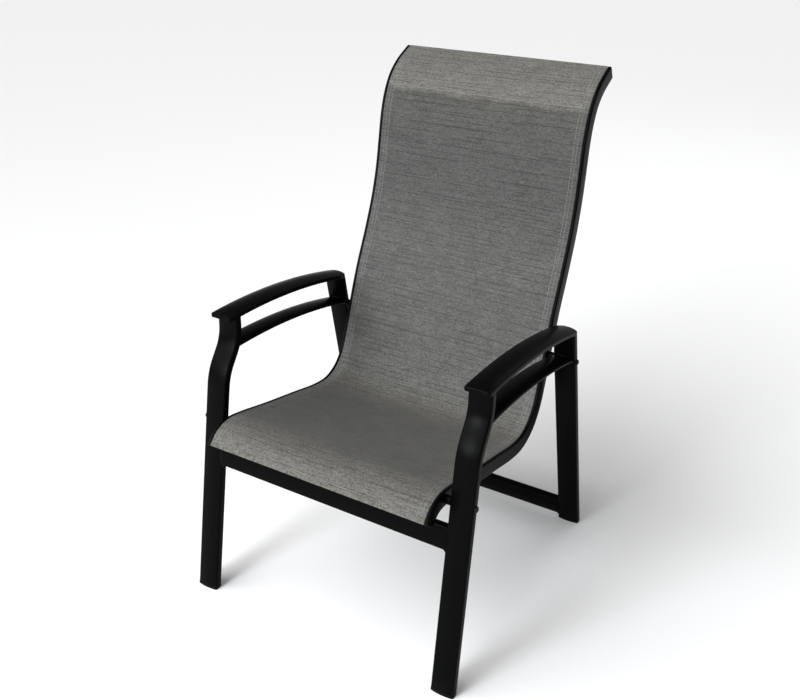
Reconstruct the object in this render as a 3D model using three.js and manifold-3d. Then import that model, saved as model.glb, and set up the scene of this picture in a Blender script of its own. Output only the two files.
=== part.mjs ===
// High-back sling patio chair: a fixed aluminium frame with two bolted, S-curved sling rails and a stretched
// woven seat. Millimetres, +Z up, the chair faces -Y, origin on the floor under the middle of its bounding box.
import * as THREE from "three";
import { mergeVertices } from "three/addons/utils/BufferGeometryUtils.js";
import Module from "manifold-3d";

const wasm = await Module();
wasm.setup();

// Overall sizes
const slingWidth = 520; // over the outer faces of the two sling rails
const slingDepth = 800; // front edge of the sling to its rolled top edge
const slingHeight = 1077; // floor to the top edge of the sling
const fit = 0.3; // running clearance between pieces that touch
const overrun = 4; // how far a cutter passes the face that it cuts

// Flat-oval bar that the legs and crossbars are drawn from
const barWidth = 50.2;
const barEdge = 18.2; // thickness at the rounded edges
const barCrown = 1.7; // rise of each broad face
const barCorner = 5;
const barWall = 2.2;

// Side lines of the legs, which pass through the bolts of the sling rails
const frontBoltShare = 0.1499; // of the way along the sling's points
const rearBoltShare = 0.5375;
const frontLeanShare = 0.16; // backward lean for each unit of height
const rearLeanShare = 0.213; // forward lean for each unit of height
const upperLegLength = 20; // straight stretch under the arm
const kneeHeight = 125; // of the front leg's S-bend
const kneeOffset = 29.4; // how far the S-bend sets the upper leg back
const kneeSteps = 8;
const rearLegSpread = 3.2; // how far the rear legs stand outside the front ones

// Arms
const armWidth = 54.2;
const armEdge = 9.5;
const armCrown = 4.5;
const armCorner = 3;
const armNose = 26.7; // in front of the upper leg's centre
const armTail = 11; // behind the rear leg's centre
const armFrontRise = 216.7; // underside above the front bolt
const armBackRise = 68.2; // underside above the rear bolt
const armArch = 31; // how far the arm's control point stands above its chord
const armNoseRadius = 5;
const armTailBow = 4;
const armSteps = 14;
const armRailSteps = 10;
const armRailDrop = 60.5; // underside of the arm to the top edge of the rail below it
const armRailEdge = 5;
const armRailCrown = 4;
const armRailCorner = 2;
const armRailWall = 1.6;

// Crossbars
const frontBarHeight = 50;
const frontBarDrop = 49; // front bolt to the top edge
const rearBarHeight = 47;
const rearBarBottom = 14.5;

// Sling rail extrusion
const railWidth = 24;
const railDepth = 30;
const railWall = 1.6;
const railCorner = 3;
const lipRise = 1.8; // how far the outer lip stands proud of the cloth's bed
const lipWidth = 7; // rail's outer face to the mouth of the groove
const mouthSlack = 0.7; // free width on each side of the cloth in the mouth
const mouthLand = 1.8; // metal between the bed and the groove's channel

// Cloth and its spline
const clothThick = 1;
const splineRadius = 2;
const loopSides = 5;
const cordSides = 6;
const channelSides = 6;

// Bolted joints
const spacerLength = 10.8; // sling rail to front leg
const boltRadius = 3;
const boltHeadRadius = 6.6;
const boltHeadHeight = 4;
const boltEdge = 0.6; // chamber's top wall to the shank
const boltSocketRadius = 2.2;
const boltSocketDepth = 2.2;
const boltSides = 12;
const threadLength = 22;
const spacerRadius = 9;
const spreaderRadius = 9.5;
const spreaderWall = 1.6;
const spreaderSides = 16;
const topSpreaderShare = 0.05; // back from the rail's top end

// Plastic ends
const capPlate = 4;
const capStem = 7;
const capStemSlack = 0.9; // room for the rail's curve beside the straight stem
const capBevel = 1.2;
const glideHeight = 6;
const glideStem = 18;

// The sling's side line as shares of its depth and height, from the front edge to the top edge
const slingLineShares = [
  [0.002, 0.3565],
  [0.017, 0.3695],
  [0.0425, 0.3798],
  [0.0775, 0.3833],
  [0.135, 0.376],
  [0.23, 0.3584],
  [0.375, 0.3343],
  [0.468, 0.3189],
  [0.525, 0.3166],
  [0.57, 0.3296],
  [0.603, 0.3556],
  [0.6275, 0.3946],
  [0.664, 0.4698],
  [0.704, 0.5446],
  [0.7505, 0.6174],
  [0.7915, 0.6908],
  [0.817, 0.7567],
  [0.832, 0.8171],
  [0.846, 0.8728],
  [0.865, 0.9146],
  [0.8935, 0.9499],
  [0.9375, 0.9777],
  [0.9975, 1.0],
];

// Places worked out from the sizes above
const railOuter = slingWidth / 2;
const railInner = railOuter - railWidth;
const legInner = railOuter + spacerLength;
const legCentre = legInner + barWidth / 2;
const legOuter = legInner + barWidth;
const rearCentre = legCentre + rearLegSpread;
const armCentre = (legCentre + rearCentre) / 2;
const mouthWidth = clothThick + 2 * mouthSlack;
const loopInner = (splineRadius + fit) / Math.cos(Math.PI / loopSides);
const loopOuter = loopInner + clothThick;
const channelRadius = (loopOuter + fit) / Math.cos(Math.PI / channelSides);
const channelDrop = mouthLand + channelRadius; // bed to the centre of the channel
const mouthOuter = railOuter - lipWidth;
const mouthInner = mouthOuter - mouthWidth;
const mouthCentre = (mouthOuter + mouthInner) / 2;
const chamberTop = channelDrop + channelRadius + railWall;
const chamberMiddle = (chamberTop + railDepth - railWall) / 2;
const boltDrop = chamberTop + boltEdge + boltRadius; // bed to the bolts' line

// Materials
const powderCoat = new THREE.MeshStandardMaterial({ color: 0x151515, roughness: 0.55, metalness: 0.4 });
const meshCloth = new THREE.MeshStandardMaterial({ color: 0x6a6a68, roughness: 0.95, metalness: 0 });
const blackPlastic = new THREE.MeshStandardMaterial({ color: 0x101010, roughness: 0.6, metalness: 0 });
const blackSteel = new THREE.MeshStandardMaterial({ color: 0x1a1a1a, roughness: 0.4, metalness: 0.8 });

// Solids and meshes
function solid(geometry) {
  const bare = geometry.index ? geometry.toNonIndexed() : geometry.clone();
  bare.deleteAttribute("normal");
  bare.deleteAttribute("uv");
  const merged = mergeVertices(bare, fit / 1000);
  return new wasm.Manifold(new wasm.Mesh({
    numProp: 3,
    vertProperties: merged.attributes.position.array,
    triVerts: new Uint32Array(merged.index.array),
  }));
}

function geometryOf(made) {
  const data = made.getMesh();
  const geometry = new THREE.BufferGeometry();
  geometry.setAttribute("position", new THREE.BufferAttribute(data.vertProperties, 3));
  geometry.setIndex(new THREE.BufferAttribute(data.triVerts, 1));
  geometry.computeVertexNormals();
  return geometry;
}

function named(name, geometry, material) {
  const mesh = new THREE.Mesh(geometry, material.clone());
  mesh.name = name;
  return mesh;
}

// A line that a sweep steps along from point to point, with the given number of steps between two points
class SteppedLine extends THREE.CatmullRomCurve3 {
  constructor(points, stepsBetween) {
    super(points, false, "centripetal");
    this.steps = (points.length - 1) * stepsBetween;
  }

  getUtoTmapping(u) {
    return u;
  }
}

function sweep(section, path, curveSegments) {
  return new THREE.ExtrudeGeometry(section, {
    extrudePath: path,
    steps: path.steps,
    curveSegments,
    bevelEnabled: false,
  });
}

// A block across the chair whose side view is the given outline of [y, z] points
function sideBlock(outline, halfWidth) {
  const shape = new THREE.Shape(outline.map(([y, z]) => new THREE.Vector2(y, z)));
  const block = new THREE.ExtrudeGeometry(shape, { depth: 2 * halfWidth, bevelEnabled: false });
  block.translate(0, 0, -halfWidth);
  block.rotateZ(Math.PI / 2);
  block.rotateY(Math.PI / 2);
  return block;
}

// A round bar along X between two places
function roundBar(from, to, radius, y, z, sides) {
  const bar = new THREE.CylinderGeometry(radius, radius, Math.abs(to - from), sides);
  bar.rotateZ(Math.PI / 2);
  bar.translate((from + to) / 2, y, z);
  return bar;
}

// Flat bar section with crowned faces and rounded edges, centred on the sweep's line
function crownedSection(width, edge, crown, corner) {
  const shape = new THREE.Shape();
  const w = width / 2;
  const e = edge / 2;
  const crest = e + 2 * crown;
  shape.moveTo(-w + corner, e);
  shape.quadraticCurveTo(0, crest, w - corner, e);
  shape.quadraticCurveTo(w, e, w, e - corner);
  shape.lineTo(w, corner - e);
  shape.quadraticCurveTo(w, -e, w - corner, -e);
  shape.quadraticCurveTo(0, -crest, corner - w, -e);
  shape.quadraticCurveTo(-w, -e, -w, corner - e);
  shape.lineTo(-w, e - corner);
  shape.quadraticCurveTo(-w, e, -w + corner, e);
  return shape;
}

// A hole has to run against its outline
function pierce(shape, points) {
  const alike = THREE.ShapeUtils.isClockWise(shape.getPoints()) === THREE.ShapeUtils.isClockWise(points);
  shape.holes.push(new THREE.Path(alike ? points.reverse() : points));
}

function hollowSection(width, edge, crown, corner, wall) {
  const section = crownedSection(width, edge, crown, corner);
  pierce(section, crownedSection(width - 2 * wall, edge - 2 * wall, crown, corner - wall).getPoints(2));
  return section;
}

// The sling's side line and the bolts that lie under it
const at = (y, z) => new THREE.Vector3(0, y, z);
const slingLine = new SteppedLine(
  slingLineShares.map(([depth, height]) => at(depth * slingDepth, height * slingHeight)),
  2,
);

function railPlace(share, drop) {
  const p = slingLine.getPointAt(share);
  const t = slingLine.getTangentAt(share);
  return { y: p.y + t.z * drop, z: p.z - t.y * drop };
}

const frontBolt = railPlace(frontBoltShare, boltDrop);
const rearBolt = railPlace(rearBoltShare, boltDrop);
const topWeld = railPlace(1 - topSpreaderShare, chamberMiddle);

// Side lines of the legs and arms
const frontLegY = (z) => frontBolt.y + frontLeanShare * (z - frontBolt.z);
const rearLegY = (z) => rearBolt.y - rearLeanShare * (z - rearBolt.z);
const armFrontHeight = frontBolt.z + armFrontRise;
const armBackHeight = rearBolt.z + armBackRise;
const aboveArm = armFrontHeight + armArch;
const kneeEnd = armFrontHeight - upperLegLength;
const kneeStart = kneeEnd - kneeHeight;
const kneeMiddle = kneeEnd - kneeHeight / 2;
const upperLegBack = frontLegY(kneeEnd) + kneeOffset;
const armFront = upperLegBack - armNose;
const armBack = rearLegY(armBackHeight) + armTail;
const frontBarBottom = frontBolt.z - frontBarDrop - frontBarHeight;

const knee = new THREE.CubicBezierCurve3(
  at(frontLegY(kneeStart), kneeStart),
  at(frontLegY(kneeMiddle), kneeMiddle),
  at(upperLegBack, kneeMiddle),
  at(upperLegBack, kneeEnd),
);
const frontLegLine = new SteppedLine([
  at(frontLegY(-glideHeight), -glideHeight),
  ...knee.getPoints(kneeSteps),
  at(upperLegBack, aboveArm),
], 1);
const rearLegLine = new SteppedLine([
  at(rearLegY(-glideHeight), -glideHeight),
  at(rearLegY(aboveArm), aboveArm),
], 1);
const armArc = new THREE.QuadraticBezierCurve3(
  at(armFront, armFrontHeight),
  at((armFront + armBack) / 2, (armFrontHeight + armBackHeight) / 2 + armArch),
  at(armBack, armBackHeight),
);
const armLine = new SteppedLine(armArc.getPoints(armSteps), 1);

// Everything above the arm's underside, and everything below the floor or the glides
const armUnderside = armLine.points.map((p) => [p.y, p.z]);
const overArm = solid(sideBlock([
  [-overrun, armFrontHeight - fit],
  ...armUnderside.map(([y, z]) => [y, z - fit]),
  [slingDepth, armBackHeight - fit],
  [slingDepth, slingHeight],
  [-overrun, slingHeight],
], legOuter + armWidth));

function slab(bottom, top) {
  const reach = slingDepth + slingWidth;
  return solid(sideBlock([[-reach, bottom], [reach, bottom], [reach, top], [-reach, top]], reach));
}

const aboveGlide = slab(glideHeight + fit, slingHeight);
const glideSlice = slab(0, glideHeight);
const stemSlice = slab(glideHeight / 2, glideHeight + glideStem);

// Legs and their glides
const legSection = hollowSection(barWidth, barEdge, barCrown, barCorner, barWall);
const legEnvelope = crownedSection(barWidth, barEdge, barCrown, barCorner);
const shadowWidth = barWidth + 2 * (fit + rearLegSpread + barCorner); // over the full width of the arm rails
const legShadow = crownedSection(shadowWidth, barEdge + 2 * fit, barCrown, barCorner);
const stemSection = crownedSection(
  barWidth - 2 * barWall - 2 * fit, barEdge - 2 * barWall - 2 * fit, barCrown, barCorner - barWall);

function legParts(line, centre, bolt) {
  const place = (geometry) => solid(geometry.translate(centre, 0, 0));
  const hole = roundBar(centre - barWidth, centre + barWidth, boltRadius + fit, bolt.y, bolt.z, boltSides);
  const leg = place(sweep(legSection, line, 4)).intersect(aboveGlide).subtract(overArm)
    .subtract(solid(hole));
  const glide = place(sweep(legEnvelope, line, 4)).intersect(glideSlice)
    .add(place(sweep(stemSection, line, 2)).intersect(stemSlice));
  return { leg: geometryOf(leg), glide: geometryOf(glide), shadow: place(sweep(legShadow, line, 4)) };
}

// Arms: a crowned cap with a straight nose and a bowed tail, and a lighter arched rail below it
function armCap(centre) {
  const w = armWidth / 2;
  const section = new THREE.Shape();
  section.moveTo(-w + armCorner, 0);
  section.lineTo(w - armCorner, 0);
  section.quadraticCurveTo(w, 0, w, armCorner);
  section.quadraticCurveTo(w, armEdge, w - armCorner, armEdge);
  section.quadraticCurveTo(0, armEdge + 2 * armCrown, armCorner - w, armEdge);
  section.quadraticCurveTo(-w, armEdge, -w, armCorner);
  section.quadraticCurveTo(-w, 0, armCorner - w, 0);
  const bar = solid(sweep(section, armLine, 4).translate(centre, 0, 0));
  const plan = new THREE.Shape();
  plan.moveTo(-w - overrun, armFront + armNoseRadius);
  plan.lineTo(-w, armFront + armNoseRadius);
  plan.quadraticCurveTo(-w, armFront, armNoseRadius - w, armFront);
  plan.lineTo(w - armNoseRadius, armFront);
  plan.quadraticCurveTo(w, armFront, w, armFront + armNoseRadius);
  plan.lineTo(w + overrun, armFront + armNoseRadius);
  plan.lineTo(w + overrun, armBack - armTailBow);
  plan.quadraticCurveTo(0, armBack + armTailBow, -w - overrun, armBack - armTailBow);
  const stamp = new THREE.ExtrudeGeometry(plan, { depth: slingHeight, curveSegments: 6, bevelEnabled: false });
  stamp.translate(centre, 0, 0);
  return geometryOf(bar.intersect(solid(stamp)));
}

function armRail(frontShadow, rearShadow, centre) {
  const drop = armRailDrop + armRailEdge / 2;
  const line = new SteppedLine(armArc.getPoints(armRailSteps).map((p) => at(p.y, p.z - drop)), 1);
  const section = hollowSection(barWidth, armRailEdge, armRailCrown, armRailCorner, armRailWall);
  const bar = solid(sweep(section, line, 3).translate(centre, 0, 0));
  const pieces = bar.subtract(frontShadow).subtract(rearShadow).decompose();
  return geometryOf(pieces.reduce((best, piece) => (piece.volume() > best.volume() ? piece : best)));
}

// A crossbar between two legs, leaning with them
function crossbar(height, bottom, legY, leanShare, halfSpan) {
  const middle = bottom + height / 2;
  const section = hollowSection(height, barEdge, barCrown, barCorner, barWall);
  const bar = new THREE.ExtrudeGeometry(section, {
    depth: 2 * halfSpan,
    curveSegments: 4,
    bevelEnabled: false,
  });
  bar.translate(0, 0, -halfSpan);
  bar.rotateY(Math.PI / 2);
  bar.rotateX(-Math.atan(leanShare));
  bar.translate(0, legY(middle), middle);
  return bar;
}

// Sling rail: an open extrusion with a lower chamber and a round groove that opens through a narrow mouth
function railSection(side) {
  const x = (value) => -side * value;
  const section = new THREE.Shape();
  section.moveTo(x(railInner + railCorner), -railDepth);
  section.lineTo(x(railOuter - railCorner), -railDepth);
  section.quadraticCurveTo(x(railOuter), -railDepth, x(railOuter), railCorner - railDepth);
  section.lineTo(x(railOuter), -lipRise);
  section.quadraticCurveTo(x(railOuter), lipRise, x(railOuter - lipWidth / 2), lipRise);
  section.lineTo(x(mouthOuter), lipRise - clothThick);
  const half = Math.asin(mouthWidth / 2 / channelRadius);
  for (let i = 0; i <= channelSides; i++) {
    const turn = half + (i / channelSides) * 2 * (Math.PI - half);
    section.lineTo(
      x(mouthCentre + channelRadius * Math.sin(turn)),
      channelRadius * Math.cos(turn) - channelDrop,
    );
  }
  section.lineTo(x(mouthInner), 0);
  section.lineTo(x(railInner + railCorner), 0);
  section.quadraticCurveTo(x(railInner), 0, x(railInner), -railCorner);
  section.lineTo(x(railInner), railCorner - railDepth);
  section.quadraticCurveTo(x(railInner), -railDepth, x(railInner + railCorner), -railDepth);
  pierce(section, [
    new THREE.Vector2(x(railInner + railWall), -chamberTop),
    new THREE.Vector2(x(railOuter - railWall), -chamberTop),
    new THREE.Vector2(x(railOuter - railWall), railWall - railDepth),
    new THREE.Vector2(x(railInner + railWall), railWall - railDepth),
  ]);
  return section;
}

function slingRail(side) {
  const from = side * (railInner - overrun);
  const to = side * (railOuter + overrun);
  let rail = solid(sweep(railSection(side), slingLine, 2));
  for (const bolt of [frontBolt, rearBolt]) {
    rail = rail.subtract(solid(roundBar(from, to, boltRadius + fit, bolt.y, bolt.z, boltSides)));
  }
  return geometryOf(rail);
}

// The cloth in one sweep: a flat sheet whose edges turn down through the mouths and loop round the splines
function clothSection() {
  const top = fit + clothThick;
  const legOut = mouthCentre + clothThick / 2;
  const legIn = mouthCentre - clothThick / 2;
  const round = (radius, turn) => [
    mouthCentre + radius * Math.sin(turn), radius * Math.cos(turn) - channelDrop];
  const start = Math.asin(clothThick / 2 / loopOuter);
  const right = [[legOut, top]];
  for (let i = 0; i <= loopSides; i++) {
    right.push(round(loopOuter, start + (i / loopSides) * 2 * (Math.PI - start)));
  }
  right.push([legIn, fit]);
  const left = right.map(([x, n]) => [-x, n]).reverse();
  const section = new THREE.Shape([...right, ...left].map(([x, n]) => new THREE.Vector2(x, n)));
  for (const side of [1, -1]) {
    const loop = [];
    for (let i = 0; i < loopSides; i++) {
      const [x, n] = round(loopInner, (i / loopSides) * 2 * Math.PI);
      loop.push(new THREE.Vector2(side * x, n));
    }
    pierce(section, loop);
  }
  return section;
}

function splineCord(side) {
  const points = [];
  for (let i = 0; i < cordSides; i++) {
    const turn = (i / cordSides) * 2 * Math.PI;
    points.push(new THREE.Vector2(
      -side * (mouthCentre + splineRadius * Math.sin(turn)),
      splineRadius * Math.cos(turn) - channelDrop,
    ));
  }
  return sweep(new THREE.Shape(points), slingLine, 1);
}

// A rectangle with rounded corners
function roundedRect(left, right, low, high, corner) {
  const shape = new THREE.Shape();
  shape.moveTo(left + corner, low);
  shape.lineTo(right - corner, low);
  shape.quadraticCurveTo(right, low, right, low + corner);
  shape.lineTo(right, high - corner);
  shape.quadraticCurveTo(right, high, right - corner, high);
  shape.lineTo(left + corner, high);
  shape.quadraticCurveTo(left, high, left, high - corner);
  shape.lineTo(left, low + corner);
  shape.quadraticCurveTo(left, low, left + corner, low);
  return shape;
}

// Plastic plug for a rail's end: a bevelled plate over the extrusion and a stem in its chamber
function endPlug(side) {
  const ends = [side * railInner, side * railOuter].sort((a, b) => a - b);
  const plate = new THREE.ExtrudeGeometry(
    roundedRect(ends[0] + capBevel, ends[1] - capBevel, capBevel - lipRise, railDepth - capBevel, railCorner), {
      depth: capPlate - capBevel,
      bevelThickness: capBevel,
      bevelSize: capBevel,
      bevelSegments: 2,
      curveSegments: 2,
    });
  plate.translate(0, 0, fit);
  const keep = new THREE.BoxGeometry(2 * slingWidth, 2 * slingWidth, 2 * capPlate);
  keep.translate(0, 0, fit + capPlate);
  const stem = new THREE.BoxGeometry(
    railWidth - 2 * railWall - 2 * fit,
    railDepth - railWall - chamberTop - 2 * capStemSlack,
    capStem + capPlate / 2,
  );
  stem.translate((ends[0] + ends[1]) / 2, chamberMiddle, (capPlate / 2 - capStem) / 2);
  return geometryOf(solid(plate).intersect(solid(keep)).add(solid(stem)));
}

function placedPlug(name, side, share) {
  const along = slingLine.getTangentAt(share);
  const across = new THREE.Vector3(1, 0, 0);
  const outward = share > 0 ? along : along.clone().negate();
  const down = along.clone().cross(across);
  const sideways = across.multiplyScalar(share > 0 ? 1 : -1);
  const mesh = named(name, endPlug(share > 0 ? side : -side), blackPlastic);
  mesh.applyMatrix4(new THREE.Matrix4().makeBasis(sideways, down, outward));
  mesh.position.copy(slingLine.getPointAt(share));
  return mesh;
}

// Turned pieces lie along X: a profile of [x, radius] points, closed on the axis or on itself
function turned(profile, side, sides, place) {
  const points = profile.map(([x, radius]) => new THREE.Vector2(radius, side * x));
  if (side < 0) points.reverse();
  if (points[0].x > 0) points.push(points[0]);
  const lathe = new THREE.LatheGeometry(points, sides);
  lathe.rotateZ(-Math.PI / 2);
  lathe.translate(0, place.y, place.z);
  return lathe;
}

// Tube that keeps a rail off a leg
function spacer(legFace, place, side) {
  const profile = [
    [railOuter + fit, boltRadius + fit],
    [railOuter + fit, spacerRadius],
    [legFace - fit, spacerRadius],
    [legFace - fit, boltRadius + fit],
  ];
  return turned(profile, side, spreaderSides, place);
}

// Tube between the rails with thick threaded ends
function spreader(place) {
  const end = railInner - fit;
  const bore = boltRadius + fit;
  const profile = [
    [-end, bore],
    [-end, spreaderRadius],
    [end, spreaderRadius],
    [end, bore],
    [end - threadLength - overrun, bore],
    [end - threadLength - 2 * overrun, spreaderRadius - spreaderWall],
    [2 * overrun + threadLength - end, spreaderRadius - spreaderWall],
    [overrun + threadLength - end, bore],
  ];
  return turned(profile, 1, spreaderSides, place);
}

// Plain tube welded between the rails
function weldedSpreader(place) {
  const end = railInner - fit;
  const bore = spreaderRadius - spreaderWall;
  const profile = [[-end, bore], [-end, spreaderRadius], [end, spreaderRadius], [end, bore]];
  return turned(profile, 1, spreaderSides, place);
}

// Button-head bolt from a face at the given x inward to the spreader's thread
function bolt(face, place, side) {
  const seat = face + fit;
  const tip = railInner - threadLength;
  const crown = seat + boltHeadHeight;
  const profile = [
    [tip, 0],
    [tip, boltRadius],
    [seat, boltRadius],
    [seat, boltHeadRadius],
    [seat + boltHeadHeight / 2, boltHeadRadius],
    [crown, (boltHeadRadius + boltSocketRadius) / 2],
    [crown, boltSocketRadius],
    [crown - boltSocketDepth, boltSocketRadius],
    [crown - boltSocketDepth, 0],
  ];
  return turned(profile, side, boltSides, place);
}

// The chair
const chair = new THREE.Group();
const frame = new THREE.Group();
chair.add(frame);

for (const [name, side] of [["left", -1], ["right", 1]]) {
  const centre = side * legCentre;
  const front = legParts(frontLegLine, centre, frontBolt);
  const rear = legParts(rearLegLine, side * rearCentre, rearBolt);
  frame.add(
    named(`front_leg_${name}`, front.leg, powderCoat),
    named(`rear_leg_${name}`, rear.leg, powderCoat),
    named(`front_glide_${name}`, front.glide, blackPlastic),
    named(`rear_glide_${name}`, rear.glide, blackPlastic),
    named(`armrest_${name}`, armCap(side * armCentre), powderCoat),
    named(`arm_rail_${name}`, armRail(front.shadow, rear.shadow, centre), powderCoat),
    named(`sling_rail_${name}`, slingRail(side), powderCoat),
    named(`sling_spline_${name}`, splineCord(side), blackPlastic),
    named(`front_spacer_${name}`, spacer(legInner, frontBolt, side), powderCoat),
    named(`rear_spacer_${name}`, spacer(legInner + rearLegSpread, rearBolt, side), powderCoat),
    named(`front_rail_bolt_${name}`, bolt(legOuter, frontBolt, side), blackSteel),
    named(`rear_rail_bolt_${name}`, bolt(legOuter + rearLegSpread, rearBolt, side), blackSteel),
    placedPlug(`front_rail_cap_${name}`, side, 0),
    placedPlug(`top_rail_cap_${name}`, side, 1),
  );
}

frame.add(
  named("front_crossbar", crossbar(
    frontBarHeight, frontBarBottom, frontLegY, frontLeanShare, legInner - fit), powderCoat),
  named("rear_crossbar", crossbar(
    rearBarHeight, rearBarBottom, rearLegY, -rearLeanShare, legInner + rearLegSpread - fit), powderCoat),
  named("front_spreader", spreader(frontBolt), powderCoat),
  named("rear_spreader", spreader(rearBolt), powderCoat),
  named("top_spreader", weldedSpreader(topWeld), powderCoat),
  named("sling", sweep(clothSection(), slingLine, 1), meshCloth),
);

// The origin lies on the floor under the middle of the chair's bounding box
chair.updateMatrixWorld(true);
const bounds = new THREE.Box3().setFromObject(chair);
frame.position.y = -(bounds.min.y + bounds.max.y) / 2;

export default chair;
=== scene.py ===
import math
import bpy
import numpy as np
from mathutils import Matrix, Vector


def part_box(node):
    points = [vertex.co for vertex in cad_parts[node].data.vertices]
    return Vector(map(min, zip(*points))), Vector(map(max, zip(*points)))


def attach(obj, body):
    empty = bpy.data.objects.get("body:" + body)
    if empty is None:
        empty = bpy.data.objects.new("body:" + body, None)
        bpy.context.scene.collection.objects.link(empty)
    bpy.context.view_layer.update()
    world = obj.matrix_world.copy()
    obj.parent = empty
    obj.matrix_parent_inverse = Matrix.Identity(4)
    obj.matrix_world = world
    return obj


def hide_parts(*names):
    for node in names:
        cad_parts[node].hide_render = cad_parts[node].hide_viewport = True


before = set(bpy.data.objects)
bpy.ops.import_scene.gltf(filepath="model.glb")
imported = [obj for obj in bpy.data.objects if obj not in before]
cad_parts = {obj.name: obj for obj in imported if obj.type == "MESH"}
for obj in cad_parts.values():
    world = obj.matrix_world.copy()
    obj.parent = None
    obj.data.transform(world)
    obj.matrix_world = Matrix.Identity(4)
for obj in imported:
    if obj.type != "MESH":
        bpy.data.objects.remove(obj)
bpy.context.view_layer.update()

mm = 0.001
sides = (("left", -1), ("right", 1))
scene = bpy.context.scene
scene.view_settings.view_transform = "Standard"


# Studio: pale floor, soft boxes, and the camera of the photograph
studio = {
    "cameraPlace": (0.977591, -1.700676, 1.505377),
    "cameraAzimuth": 30.975,
    "cameraElevation": 21.862,
    "cameraRoll": 0.137,
    "lens": 44.537,
    "sensor": 36.0,
    "shiftUp": -0.12,
    "farClip": 200.0,
    "floorTone": (0.93, 0.93, 0.93),
    "floorRough": 0.9,
    "floorShine": 0.1,
    "floorHalf": 40.0,
    "skyStrength": 0.3,
    "key": {"way": (-0.48, -0.53, 0.68), "distance": 3.0, "angle": 65.0, "strength": 3.0},
    "knee": {"place": (-0.85, -3.1, 1.55), "size": 1.1, "power": 66.0, "colour": (0.93, 0.96, 1.0)},
    "side": {"place": (3.2, -1.2, 1.6), "size": 1.2, "power": 8.0, "colour": (1.0, 1.0, 1.0)},
    "rim": {"place": (1.0, 3.2, 2.8), "size": 2.0, "power": 16.0, "colour": (0.94, 0.97, 1.0)},
    "aim": (0.0, 0.0, 0.5),
}


def makeCamera():
    camera = bpy.data.cameras.new("photo camera")
    camera.sensor_width = studio["sensor"]
    camera.lens = studio["lens"]
    camera.shift_y = studio["shiftUp"]
    camera.clip_end = studio["farClip"]
    holder = bpy.data.objects.new("photo camera", camera)
    holder.location = studio["cameraPlace"]
    turn = Matrix.Rotation(math.radians(studio["cameraAzimuth"]), 3, "Z")
    turn @= Matrix.Rotation(math.radians(90.0 - studio["cameraElevation"]), 3, "X")
    turn @= Matrix.Rotation(math.radians(studio["cameraRoll"]), 3, "Z")
    holder.rotation_euler = turn.to_euler()
    scene.collection.objects.link(holder)
    scene.camera = holder


def hangLight(name, light, place, aim):
    holder = bpy.data.objects.new(name, light)
    holder.location = place
    holder.rotation_euler = aim.to_track_quat("-Z", "Y").to_euler()
    scene.collection.objects.link(holder)


def makeSoftBox(name, place, size, power, colour):
    light = bpy.data.lights.new(name, "AREA")
    light.shape = "DISK"
    light.size = size
    light.energy = power
    light.color = colour
    hangLight(name, light, place, Vector(studio["aim"]) - Vector(place))


def makeKey():
    key = studio["key"]
    light = bpy.data.lights.new("soft key", "SUN")
    light.angle = math.radians(key["angle"])
    light.energy = key["strength"]
    way = Vector(key["way"])
    hangLight("soft key", light, Vector(studio["aim"]) + way * key["distance"], -way)


def makeStudio():
    world = bpy.data.worlds.new("studio air")
    scene.world = world
    world.use_nodes = True
    air = world.node_tree.nodes["Background"]
    air.inputs["Color"].default_value = (1.0, 1.0, 1.0, 1.0)
    air.inputs["Strength"].default_value = studio["skyStrength"]
    half = studio["floorHalf"]
    corners = [(-half, -half, 0), (half, -half, 0), (half, half, 0), (-half, half, 0)]
    mesh = bpy.data.meshes.new("studio floor")
    mesh.from_pydata(corners, [], [(0, 1, 2, 3)])
    floor = bpy.data.objects.new("studio floor", mesh)
    scene.collection.objects.link(floor)
    paint = bpy.data.materials.new("pale floor")
    paint.use_nodes = True
    shader = paint.node_tree.nodes["Principled BSDF"]
    shader.inputs["Base Color"].default_value = (*studio["floorTone"], 1.0)
    shader.inputs["Roughness"].default_value = studio["floorRough"]
    shader.inputs["Specular IOR Level"].default_value = studio["floorShine"]
    mesh.materials.append(paint)
    makeKey()
    for name in ("knee", "side", "rim"):
        makeSoftBox(name + " soft box", **studio[name])


makeCamera()
makeStudio()
print("studio ready")


# Node helpers
def setSocket(tree, socket, value):
    if isinstance(value, bpy.types.NodeSocket):
        tree.links.new(value, socket)
    else:
        socket.default_value = (*value, 1.0) if socket.type == "RGBA" else value


def addNode(tree, kind, settings=None, values=None):
    node = tree.nodes.new(kind)
    for key, value in (settings or {}).items():
        setattr(node, key, value)
    for key, value in (values or {}).items():
        setSocket(tree, node.inputs[key], value)
    return node


def mathNode(tree, operation, first, second=0.0, third=0.0):
    node = addNode(tree, "ShaderNodeMath", {"operation": operation}, {0: first, 1: second, 2: third})
    return node.outputs[0]


def product(tree, first, *factors):
    for factor in factors:
        first = mathNode(tree, "MULTIPLY", first, factor)
    return first


def halfWave(tree, value):
    return mathNode(tree, "SINE", product(tree, mathNode(tree, "FRACT", value), math.pi))


def rangeNode(tree, value, low, high, toLow=0.0, toHigh=1.0):
    node = addNode(tree, "ShaderNodeMapRange", {"interpolation_type": "SMOOTHSTEP"}, {
        "Value": value, "From Min": low, "From Max": high, "To Min": toLow, "To Max": toHigh})
    return node.outputs["Result"]


def mixColours(tree, share, first, second, blend="MIX"):
    settings = {"data_type": "RGBA", "blend_type": blend}
    return addNode(tree, "ShaderNodeMix", settings, {0: share, 6: first, 7: second}).outputs[2]


def noiseNode(tree, vector, scale, detail, roughness):
    node = addNode(tree, "ShaderNodeTexNoise", values={
        "Vector": vector, "Scale": scale, "Detail": detail, "Roughness": roughness})
    return node.outputs["Fac"]


def coordinates(tree, kind):
    return addNode(tree, "ShaderNodeTexCoord").outputs[kind]


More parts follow.
